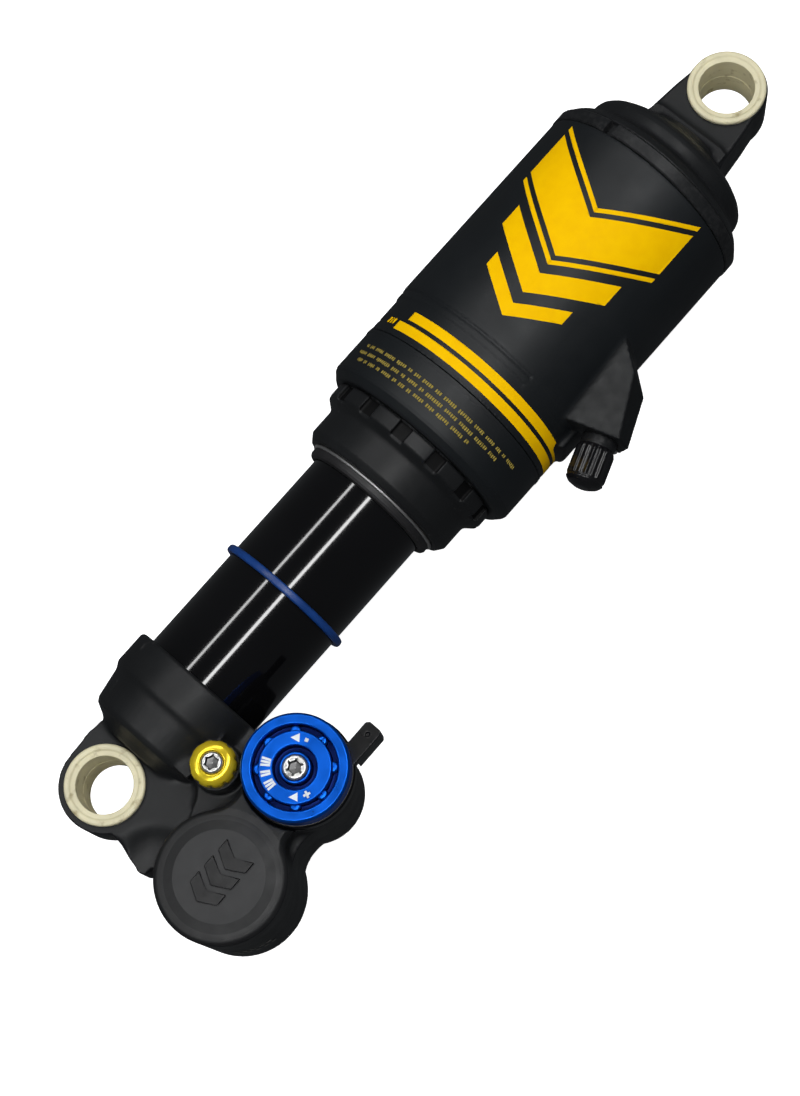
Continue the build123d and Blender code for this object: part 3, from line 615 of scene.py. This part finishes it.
# ---- damper tube, sag ring, wiper -----------------------------------------------------------
def make_stanchion():
    """The polished tube, and the rubber sag ring a little narrower than its CAD solid."""
    low, high = cad_box_mm("stanchion_tube")
    outer = high.z
    inner = outer - 1.4
    profile = [(low.x, inner), (low.x, outer), (high.x, outer), (high.x, inner)]
    turned("stanchion_finished", profile, "head", "gloss_black_coating", soft=0.25,
           segments=288, replaced=["stanchion_tube"])
    low, high = cad_box_mm("sag_ring")
    inner = outer + 0.05
    slack = 0.35
    ring = [(low.x + slack, inner), (low.x + slack, high.z), (high.x - slack, high.z),
            (high.x - slack, inner)]
    turned("sag_ring_finished", ring, "sag_ring", "blue_rubber", soft=1.0, segments=288,
           replaced=["sag_ring"])


# ---- looks of the CAD solids ----------------------------------------------------------------
SPECIAL_LOOKS = {"lower_sleeve": "sleeve_black", "wiper_wire": "wire_steel"}


def finish_cad_nodes():
    """Each CAD solid wears its slot's look, apart from the few with a look of their own."""
    for node, obj in frame["nodes"].items():
        dress(obj, SPECIAL_LOOKS.get(node, SLOT_OF[node]))


# ---- castings -------------------------------------------------------------------------------
def make_head():
    """The head with soft fillets in its hollow corners, but none in its bores and seats."""
    eye, tube = (0, 0), (0, 0)
    seats = [(KNOB_AT, 12.9, 10.0), (REBOUND_AT, 6.2, 8.0), (RESERVOIR_AT, 12.4, -17.0)]

    def keep(points):
        kept = from_axis(points, eye) < 8.3
        kept |= (from_axis(points, tube, 1, 2) < 15.6) & (points[:, 0] > 11)
        for at, reach, floor in seats:
            kept |= (from_axis(points, at) < reach) & (points[:, 2] > floor)
        x, y, z = points.T
        by_barrel = from_axis(points, RESERVOIR_AT) < BARREL_R + 2.5
        kept |= by_barrel & (z > 3) & (x < 11) & (y > -44)
        return kept

    mouth = CAP_HIGH.z - 1.2
    rim = ((CAP_R, mouth), (CAP_R + 1.6, mouth - 0.3), (BARREL_R, mouth - 1.1))

    def snap(points):
        """The barrel's rim stays crisp where the cap meets it."""
        out = from_axis(points, RESERVOIR_AT)
        near = (points[:, 2] > mouth - 0.6) & (out > CAP_R - 0.1) & (out < CAP_R + 0.9)
        lip = near & (out < CAP_R + 0.28)
        aim = np.where(lip, CAP_R, out)
        points = points.copy()
        points[:, 2] = np.where(near, np.interp(aim, *zip(*rim)), points[:, 2])
        scale = (aim / np.maximum(out, 0.1))[:, None]
        centre = np.array(RESERVOIR_AT.xy)
        points[:, :2] = np.where(near[:, None], centre + (points[:, :2] - centre) * scale,
                                 points[:, :2])
        return points

    def scoop_rim(points):
        """1 on the rim of the web's scoop, falling to 0 beside it."""
        scoop_x, scoop_y, scoop_r, fade = -6, -20, 9.0, 2.4
        x, y, z = points.T
        weight = 1 - np.abs(np.hypot(x - scoop_x, y - scoop_y) - scoop_r) / fade
        weight[(z < 4.0) | (from_axis(points, RESERVOIR_AT) < BARREL_R + 0.4)] = 0
        weight[from_axis(points, eye) < 9.3] = 0
        return np.clip(weight, 0, 1)

    def on_rim(at, normal):
        out = (at.xy - RESERVOIR_AT.xy).length
        return at.z > mouth - 1.3 and CAP_R - 0.1 < out < BARREL_R + 0.1 and normal.z > 0.3

    obj = softened("head_casting", 0.30, 3, "matte_black_anodise", 60, keep, snap)
    relax(obj.data, 90, scoop_rim)
    # The barrel's sloped rim wears a darker black: painted shade.
    second_look(obj, "rim_painted_shade", on_rim)


def make_sleeve():
    """The long sleeve, turned true, with its faceted valve boss run into it; the boss is painted
    darker as shade.
    """
    seams = ((SLEEVE_LOW.x, -0.5), (SLEEVE_LOW.x + 0.6, -0.5), (SLEEVE_LOW.x + 1.1, -0.5),
             (116.8, -0.5), (117.0, -0.65), (117.6, -0.65), (117.8, -0.5), (123.4, -0.5),
             (123.9, -0.2), (125.2, -0.2), (125.4, -0.42), (125.9, -0.42), (126.1, -0.12),
             (126.9, 0), (SLEEVE_HIGH.x, 0))
    cap_low, cap_high = cad_box_mm("valve_cap")
    on_valve = (cap_low + cap_high) / 2
    boss_side, boss_spread = math.radians(82), math.radians(48)
    boss_low, boss_high = 119.5, 153
    valve_bore_r, sleeve_bore_r = 4.4, 25

    def off_boss(points):
        side = np.arctan2(points[:, 1], points[:, 2])
        near = np.abs(side + boss_side) < boss_spread
        return ~(near & (points[:, 0] > boss_low) & (points[:, 0] < boss_high))

    def keep(points):
        across = np.cross(points - np.array(on_valve), np.array(VALVE_AXIS))
        in_valve = np.linalg.norm(across, axis=1) < valve_bore_r
        return off_boss(points) | in_valve | (from_axis(points, (0, 0), 1, 2) < sleeve_bore_r)

    def snap(points):
        radius = from_axis(points, (0, 0), 1, 2)
        true = SLEEVE_R + np.interp(points[:, 0], *zip(*seams))
        outside = off_boss(points) & (radius > SLEEVE_R - 1.1)
        outside &= (points[:, 0] > SLEEVE_LOW.x + 0.5) & (points[:, 0] < SLEEVE_HIGH.x - 0.5)
        scale = np.where(outside, true / radius, 1)[:, None]
        return points * np.hstack([np.ones_like(scale), scale, scale])

    def on_boss(at, normal):
        return at.y < -15 and 120 < at.x < 150 and at.yz.length > SLEEVE_R + 0.25

    obj = softened("main_sleeve", 0.36, 2, "sleeve_black", 24, keep, snap)
    # The boss's facets wear a darker copy of the sleeve's black: painted shade.
    second_look(obj, "boss_painted_shade", on_boss)


def make_top_cap():
    """The cap with the upper eye, eased outside its eye bore and the sleeve's seat."""
    def keep(points):
        inside = (from_axis(points, (0, 0), 1, 2) < 24.6) & (points[:, 0] < 181.6)
        return inside | (from_axis(points, (UPPER_EYE_X, 0)) < 8.0)

    softened("top_cap", 0.30, 3, "matte_black_anodise", 20, keep)


def make_seal_head():
    """Collar and notched flange; the floors of the notches are painted darker than the rest, as
    shade.
    """
    def keep(points):
        return from_axis(points, (0, 0), 1, 2) < 17.8

    flange_low, flange_high, flange_r, notch_floor_r = 95.6, 100.5, 22.2, 20.9

    def in_notch(at, normal):
        along_flange = flange_low + 1.3 < at.x < flange_high
        return along_flange and notch_floor_r < at.yz.length < flange_r - 0.28

    obj = softened("air_can_seal_head", 0.22, 2, "matte_black_anodise", 4, keep)
    # The notch floors wear a near-black: painted shade in the recesses.
    second_look(obj, "notch_painted_shade", in_notch)


# ---- knobs ----------------------------------------------------------------------------------
def dome(bm, at, radius, low, high):
    """A short post with a rounded top, standing on Z."""
    profile = [(low, 0.001), (low, radius), (high - 0.4, radius), (high - 0.1, radius * 0.7),
               (high, 0.001)]
    lathe(bm, rounded(profile, 0.3), "Z", at, 32)


def make_lsc_knob():
    """Blue knob: flat rim, deep groove with lobes in it, dial ring and a sunk hub; the groove and
    the hub's recess are painted dark blue as shade.
    """
    low, high = cad_box_mm("lsc_knob")
    rim_r = (high.x - low.x) / 2
    face = high.z
    groove_out, groove_in, dial_in, hub_r = 9.15, 7.85, 4.7, 3.5
    lobes, lobe_r, lobe_at, lobe_turn = 8, 1.25, 7.9, -3
    floor = face - 3.2
    dial = face - 0.1
    profile = [
        (low.z, 1.3), (low.z, 2.95), (face - 5.3, 2.95), (face - 5.3, rim_r - 0.5),
        (face - 4.8, rim_r), (face - 0.5, rim_r), (face, rim_r - 0.5), (face, groove_out + 0.25),
        (face - 0.3, groove_out), (floor, groove_out), (floor, groove_in),
        (dial - 0.25, groove_in), (dial, groove_in - 0.25), (dial, dial_in + 0.2),
        (dial - 0.3, dial_in), (floor - 0.2, dial_in), (floor - 0.2, hub_r),
        (face - 0.9, hub_r), (face - 0.55, hub_r - 0.3), (face - 0.55, 2.85),
        (face - 1.6, 2.85), (face - 1.6, 1.3)]
    bm = bmesh.new()
    lathe(bm, rounded(profile, 0.18, 3), "Z", KNOB_AT, 192)
    for index in range(lobes):
        angle = 2 * math.pi * index / lobes + math.radians(lobe_turn)
        at = KNOB_AT + lobe_at * Vector((math.cos(angle), math.sin(angle), 0))
        dome(bm, at, lobe_r, floor - 0.1, face - 1.0)

    def in_shade(at, normal):
        out = (at.xy - KNOB_AT.xy).length
        on_lobe = groove_in + 0.05 < out < groove_out - 0.02 and at.z > face - 1.6
        in_groove = groove_in - 0.05 < out < groove_out + 0.05 and not on_lobe
        in_hub = hub_r - 0.05 < out < dial_in + 0.05
        return floor - 0.5 < at.z < face - 0.5 and (in_groove or in_hub)

    obj = piece("lsc_knob_finished", bm, "lsc_knob", "blue_anodise", replaced=["lsc_knob"])
    # The groove and the hub's recess wear a darker copy of the blue: painted shade.
    second_look(obj, "blue_painted_shade", in_shade)

    def directions(angle):
        """Outwards and anticlockwise at that angle on the dial."""
        a = math.radians(angle)
        along = Vector((math.cos(a), math.sin(a)))
        return along, Vector((-along.y, along.x))

    def bar(angle, inner, outer, start, stop):
        """A bar along the radius at that angle, between two offsets from the radius."""
        along, side = directions(angle)
        return [tuple(KNOB_AT.xy + along * r + side * h) for r, h in
                ((inner, start), (outer, start), (outer, stop), (inner, stop))]

    def arrow(angle, toward):
        """A small arrow head that points round the dial: toward is 1 or -1."""
        ring_r, tip, tail, half = 6.25, 1.3, 0.6, 0.95
        along, side = directions(angle)
        side = side * toward
        at = KNOB_AT.xy + along * ring_r
        return [tuple(at + side * tip), tuple(at - side * tail + along * half),
                tuple(at - side * tail - along * half)]

    marks = [bar(142 + step, 5.2, 7.3, -0.26, 0.26)
             for step in (-28, -22, -16, -3, 3, 17, 23, 29)]
    marks += [arrow(38, 1), bar(18, 5.8, 6.6, -0.4, 0.4)]
    marks += [arrow(-138, -1), bar(-114, 5.5, 7.1, -0.27, 0.27),
              bar(-114, 6.03, 6.57, 0.27, 0.8), bar(-114, 6.03, 6.57, -0.8, -0.27)]
    print_on_face("lsc_knob_marks", marks, dial, "lsc_knob", "white_ink", "blue_anodise")


def make_rebound_knob():
    """Gold knob with ten shallow scallops round its side and a domed top edge."""
    low, high = cad_box_mm("rebound_knob")
    rim_r = (high.x - low.x) / 2
    face = high.z
    skirt = face - 4.1
    profile = [
        (low.z, 1.3), (low.z, 2.05), (skirt, 2.05), (skirt, rim_r - 0.5), (skirt + 0.4, rim_r),
        (face - 1.6, rim_r), (face - 0.7, rim_r - 0.45), (face - 0.2, rim_r - 1.15),
        (face, rim_r - 1.95), (face, 2.6), (face - 1.0, 2.5), (face - 1.0, 1.3)]

    def scallops(along, radius, angle):
        if radius < rim_r - 1.2 or along > face - 1.1:
            return radius
        return radius - 0.4 * max(0.0, math.cos(10 * angle)) ** 2

    turned("rebound_knob_finished", profile, "rebound_knob", "gold_anodise", "Z", REBOUND_AT,
           soft=0.35, segments=200, shape=scallops, replaced=["rebound_knob"],
           slot="gold_anodise")


def make_screw(node, body):
    """Button-head screw with a hexagonal socket, painted dark inside as shade."""
    low, high = cad_box_mm(node)
    at = (low + high) / 2
    head_r = (high.x - low.x) / 2
    flat = 1.25
    shank = min(1.0, head_r - 0.5)
    head = high.z - 1.25
    profile = [
        (low.z, 0.001), (low.z, shank), (head, shank), (head, head_r), (high.z - 0.35, head_r),
        (high.z, head_r - 0.45), (high.z, flat + 0.18), (high.z - 0.12, flat),
        (high.z - 1.15, flat), (high.z - 1.3, 0.001)]

    def hexagon(along, radius, angle):
        if along < head + 0.01 or radius > flat + 0.25 or radius < 0.5:
            return radius
        return radius / math.cos((angle + math.pi / 6) % (math.pi / 3) - math.pi / 6)

    def in_socket(middle, normal):
        return (middle.xy - at.xy).length < flat + 0.4 and head < middle.z < high.z - 0.06

    bm = bmesh.new()
    lathe(bm, rounded(profile, 0.1, 2), "Z", at, 144, hexagon)
    obj = piece(node + "_finished", bm, body, "screw_steel", replaced=[node], slot="steel")
    # The socket's walls and floor wear a dark steel: painted shade.
    second_look(obj, "socket_painted_shade", in_socket)


# ---- valve and reservoir caps -----------------------------------------------------------------
def make_valve_cap():
    """Ribbed dust cap, turned on Z and then laid along the valve."""
    low, high = cad_box_mm("valve_cap")
    half, outer, bore = 4.9, 4.45, 3.92
    profile = [
        (-half, bore), (-half, outer - 0.5), (0.9 - half, outer), (half - 2.6, outer),
        (half - 2.2, outer - 0.35), (half - 1.8, outer - 0.1), (half - 0.9, outer - 0.9),
        (half - 0.15, outer - 2.6), (half, 0.01), (half - 1.4, 0.01), (half - 1.4, bore)]

    def ribs(along, radius, angle):
        count, depth = 18, 0.34
        if radius < outer - 0.2 or along > half - 2.5:
            return radius
        return radius - depth * (0.5 - 0.5 * math.cos(count * angle)) ** 0.7

    bm = bmesh.new()
    lathe(bm, rounded(profile, 0.3), "Z", (0, 0, 0), 288, ribs)
    turn = Vector((0, 0, 1)).rotation_difference(VALVE_AXIS).to_matrix()
    for v in bm.verts:
        v.co = turn @ v.co + (low + high) / 2
    piece("valve_cap_finished", bm, "valve_cap", "cap_plastic", replaced=["valve_cap"])


def make_reservoir_cap():
    """Screwed cap: a sloped rim round a flat disc, with three raised chevrons; the rim is painted
    darker as shade.
    """
    base, top = CAP_LOW.z, CAP_HIGH.z
    disc = top - 0.5
    disc_r = 9.9
    lip_r = CAP_R + 1.0
    profile = [(base, 0.001), (base, CAP_R - 0.02), (disc - 1.2, CAP_R - 0.02),
               (disc - 0.98, lip_r), (disc - 0.84, lip_r), (disc - 0.66, CAP_R), (disc, disc_r),
               (disc, disc_r - 1.5), (disc, disc_r / 2), (disc, 0.001)]
    obj = turned("reservoir_cap_finished", profile, "head", "cap_grey_anodise", "Z",
                 RESERVOIR_AT, soft=0.02, replaced=["reservoir_cap"], slot="cap_grey_anodise")
    # The sloped rim outside the disc wears a darker black: painted shade.
    second_look(obj, "rim_painted_shade", lambda at, normal: (at.xy - RESERVOIR_AT.xy).length > disc_r)

    bm = bmesh.new()
    reach, depth, rise = 3.9, 2.9, 2.2
    for offset in (-6.9, -2.5, 1.9):
        x, y = RESERVOIR_AT.x + offset, RESERVOIR_AT.y
        outline = [(x, y), (x + rise, y + reach), (x + rise + depth, y + reach),
                   (x + depth, y), (x + rise + depth, y - reach), (x + rise, y - reach)]
        base_ring = [bm.verts.new((u, v, disc - 0.1)) for u, v in outline]
        top_ring = [bm.verts.new((u, v, top)) for u, v in outline]
        bm.faces.new(base_ring)
        bm.faces.new(top_ring)
        for index in range(len(outline)):
            after = (index + 1) % len(outline)
            bm.faces.new((base_ring[index], base_ring[after], top_ring[after], top_ring[index]))
    bmesh.ops.bevel(bm, geom=bm.edges[:], offset=0.16, segments=3, affect="EDGES")
    piece("cap_motif", bm, "head", "motif_black", slot="matte_black_anodise")


# ---- prints ---------------------------------------------------------------------------------
STRIPE_R = 25.3
SMALL_PRINT_R = 25.37


def make_sleeve_prints():
    """Plain yellow chevrons on the sleeve and two stripes round its lower end."""
    radius = SLEEVE_R + INK_GAP

    def chevron(apex, depth, rise, reach):
        middle = -1.5
        return [
            [(apex, middle), (apex + depth, middle), (apex + depth + rise, middle + reach),
             (apex + rise, middle + reach)],
            [(apex + depth, middle), (apex, middle), (apex + rise, middle - reach),
             (apex + depth + rise, middle - reach)]]

    bold = chevron(149.0, 11.5, 13.5, 20.5)
    bold += chevron(146.4, 1.2, 13.5, 20.5)
    bold += chevron(161.9, 1.2, 13.5, 20.5)
    bold += chevron(138.2, 5.6, 10.2, 15.5)
    bold += chevron(131.4, 3.6, 7.2, 11.0)
    print_on_tube("can_motif", bold, radius, "air_can", "yellow_ink", "matte_black_anodise")
    low_radius = STRIPE_R + INK_GAP
    for index, (low, high, start) in enumerate(((115.7, 117.95, 42), (118.95, 121.2, 37))):
        reach = math.radians(start) * low_radius
        end = math.radians(-140) * low_radius
        band = [[(low, reach), (high, reach), (high, end), (low, end)]]
        print_on_tube(f"can_stripe_{index}", band, low_radius, "air_can", "yellow_ink",
                      "matte_black_anodise")


def make_small_print():
    """Rows of tiny strokes in word-like groups, where the object has small print."""
    draw = random.Random(7)
    radius = SMALL_PRINT_R + INK_GAP
    stroke, gap, space, foot = 0.40, 0.17, 0.75, 0.38
    rows = ((105.8, 48, -34), (107.7, 52, -48), (109.6, 50, -60))
    strokes = []
    for along, start, end in rows:
        at = math.radians(start) * radius
        stop = math.radians(end) * radius
        while at > stop:
            for _ in range(draw.randint(2, 8)):
                tall = draw.choice((0.34, 0.42, 0.5))
                strokes.append([(along - tall, at), (along + foot, at),
                                (along + foot, at - stroke), (along - tall, at - stroke)])
                at -= stroke + gap
            at -= space
    print_on_tube("can_small_print", strokes, radius, "air_can", "olive_ink",
                  "matte_black_anodise")


def make_side_marks():
    """Short bars beside the stripes, and faint etched bars low on the reservoir's wall."""
    radius = STRIPE_R + INK_GAP
    bars = []
    along, tall, lean = 116.6, 1.5, 0.3
    for start, width in ((49.5, 0.5), (47.3, 0.8), (52.5, 0.9)):
        at = math.radians(start) * radius
        bars.append([(along, at), (along + tall, at - lean), (along + tall, at - lean - width),
                     (along, at - width)])
    print_on_tube("can_side_marks", bars, radius, "air_can", "yellow_ink", "matte_black_anodise")

    barrel_r = BARREL_R + 0.05
    bars = []
    tall, width = 1.7, 1.2
    for row, low in enumerate((-7.5, -4.6)):
        for index in range(5):
            start = math.radians(-100 - 7.5 * index - 3 * row) * barrel_r
            bars.append([(low, start), (low + tall, start), (low + tall, start - width),
                         (low, start - width)])
    bm = flat_patch(bars, 1.0, 1)
    for v in bm.verts:
        angle = v.co.y / barrel_r
        v.co = (barrel_r * math.cos(angle), barrel_r * math.sin(angle), v.co.x)
    scale = 1 + INK_THICK / barrel_r
    thicken(bm, lambda co: Vector((co.x * scale, co.y * scale, co.z)))
    for v in bm.verts:
        v.co += Vector((RESERVOIR_AT.x, RESERVOIR_AT.y, 0))
    piece("reservoir_marks", bm, "head", "grey_ink", slot="matte_black_anodise")


# ---- stage ----------------------------------------------------------------------------------
CAMERA_AT = Vector((0.0217, -0.1263, 0.4718))
CAMERA_LOOKS = Vector((0.12276, 0.23266, -0.96478))
CAMERA_UP = Vector((0.74281, 0.62314, 0.24479))
CAMERA_LENS = 72.26


def make_camera():
    data = bpy.data.cameras.new("camera")
    data.sensor_width = 36
    data.lens = CAMERA_LENS
    data.clip_start = 0.01
    camera = bpy.data.objects.new("camera", data)
    bpy.context.scene.collection.objects.link(camera)
    back = -CAMERA_LOOKS.normalized()
    right = CAMERA_UP.cross(back).normalized()
    up = back.cross(right)
    turn = Matrix((right, up, back)).transposed().to_4x4()
    camera.matrix_world = Matrix.Translation(CAMERA_AT) @ turn
    bpy.context.scene.camera = camera


def area_light(name, at, target, size, size_y, power):
    """A soft light at a point, aimed at target, with its first side along the shock."""
    data = bpy.data.lights.new(name, "AREA")
    data.shape = "RECTANGLE"
    data.size = size
    data.size_y = size_y
    data.energy = power
    light = bpy.data.objects.new(name, data)
    bpy.context.scene.collection.objects.link(light)
    back = (Vector(at) - Vector(target)).normalized()
    along = Vector((1, 0, 0))
    across = along - back * along.dot(back)
    across.normalize()
    other = back.cross(across)
    light.matrix_world = Matrix.Translation(Vector(at)) @ Matrix(
        (across, other, back)).transposed().to_4x4()
    return light


def strip_for_tube(name, angle, width, power):
    """A strip light whose mirror image is a line along the tube at that angle from +Z."""
    tube_r, distance, length = 0.015, 0.5, 0.9
    a = math.radians(angle)
    normal = Vector((0, math.sin(a), math.cos(a)))
    spot = Vector((CAMERA_AT.x, 0, 0)) + normal * tube_r
    seen_from = CAMERA_AT - spot
    seen_from.x = 0
    seen_from.normalize()
    out = 2 * normal.dot(seen_from) * normal - seen_from
    middle = Vector((0.075, 0, 0)) + normal * tube_r
    area_light(name, middle + out * distance, middle, length, width, power)


def make_floor():
    """A white floor just under the shock, which only the camera sees."""
    mesh = bpy.data.meshes.new("floor")
    half, gap = 15.0, 0.0005
    depth = cad_box[0][2] - gap
    corners = [(-half, -half), (half, -half), (half, half), (-half, half)]
    mesh.from_pydata([(x, y, depth) for x, y in corners], [], [(0, 1, 2, 3)])
    floor = bpy.data.objects.new("floor", mesh)
    bpy.context.scene.collection.objects.link(floor)
    m = Maker("floor", (0.9, 0.9, 0.9), 0.9)
    m.shader.inputs["Emission Color"].default_value = (1, 1, 1, 1)
    m.shader.inputs["Emission Strength"].default_value = 0.96
    m.vary_color(8, 0.01)
    mesh.materials.append(m.material)
    floor.visible_glossy = False
    floor.visible_diffuse = False


def make_world():
    """White to the camera, and a dim cool grey to everything that the shock reflects."""
    world = bpy.data.worlds.new("studio")
    world.use_nodes = True
    bpy.context.scene.world = world
    nodes, links = world.node_tree.nodes, world.node_tree.links
    path = nodes.new("ShaderNodeLightPath")
    mix = nodes.new("ShaderNodeMixShader")
    seen = nodes.new("ShaderNodeBackground")
    seen.inputs["Color"].default_value = (1, 1, 1, 1)
    seen.inputs["Strength"].default_value = 1.0
    dim = nodes["Background"]
    dim.inputs["Color"].default_value = (0.9, 0.95, 1, 1)
    dim.inputs["Strength"].default_value = 0.06
    links.new(path.outputs["Is Camera Ray"], mix.inputs["Fac"])
    links.new(dim.outputs["Background"], mix.inputs[1])
    links.new(seen.outputs["Background"], mix.inputs[2])
    links.new(mix.outputs["Shader"], nodes["World Output"].inputs["Surface"])
    bpy.context.scene.view_settings.view_transform = "Standard"


def make_lights():
    """Two strips drawn as lines on the tube, and six soft lights that no gloss mirrors."""
    strip_for_tube("strip_left", 4.5, 0.036, 1.1)
    strip_for_tube("strip_right", -13.5, 0.045, 2.0)
    middle, size = (0.09, 0, 0), 0.5
    soft_lights = (("key", (-0.25, 0.45, 0.75), 0.7),
                   ("fill", (0.35, -0.75, 0.55), 0.35),
                   ("low", (-0.6, -0.1, 0.35), 0.2),
                   ("side", (0.05, -0.95, 0.10), 0.45),
                   ("back", (0.10, 0.95, 0.10), 0.4),
                   ("end", (1.10, -0.15, 0.12), 0.35))
    for name, at, power in soft_lights:
        area_light(name, at, middle, size, size, power).visible_glossy = False


finish_cad_nodes()
make_bushes()
make_stanchion()
make_head()
make_sleeve()
make_top_cap()
make_seal_head()
softened("hsc_lever", 0.14, 2, "lever_black")
make_lsc_knob()
make_rebound_knob()
make_screw("lsc_knob_screw", "lsc_knob")
make_screw("rebound_knob_screw", "rebound_knob")
make_valve_cap()
make_reservoir_cap()
make_sleeve_prints()
make_small_print()
make_side_marks()
make_camera()
make_floor()
make_world()
make_lights()
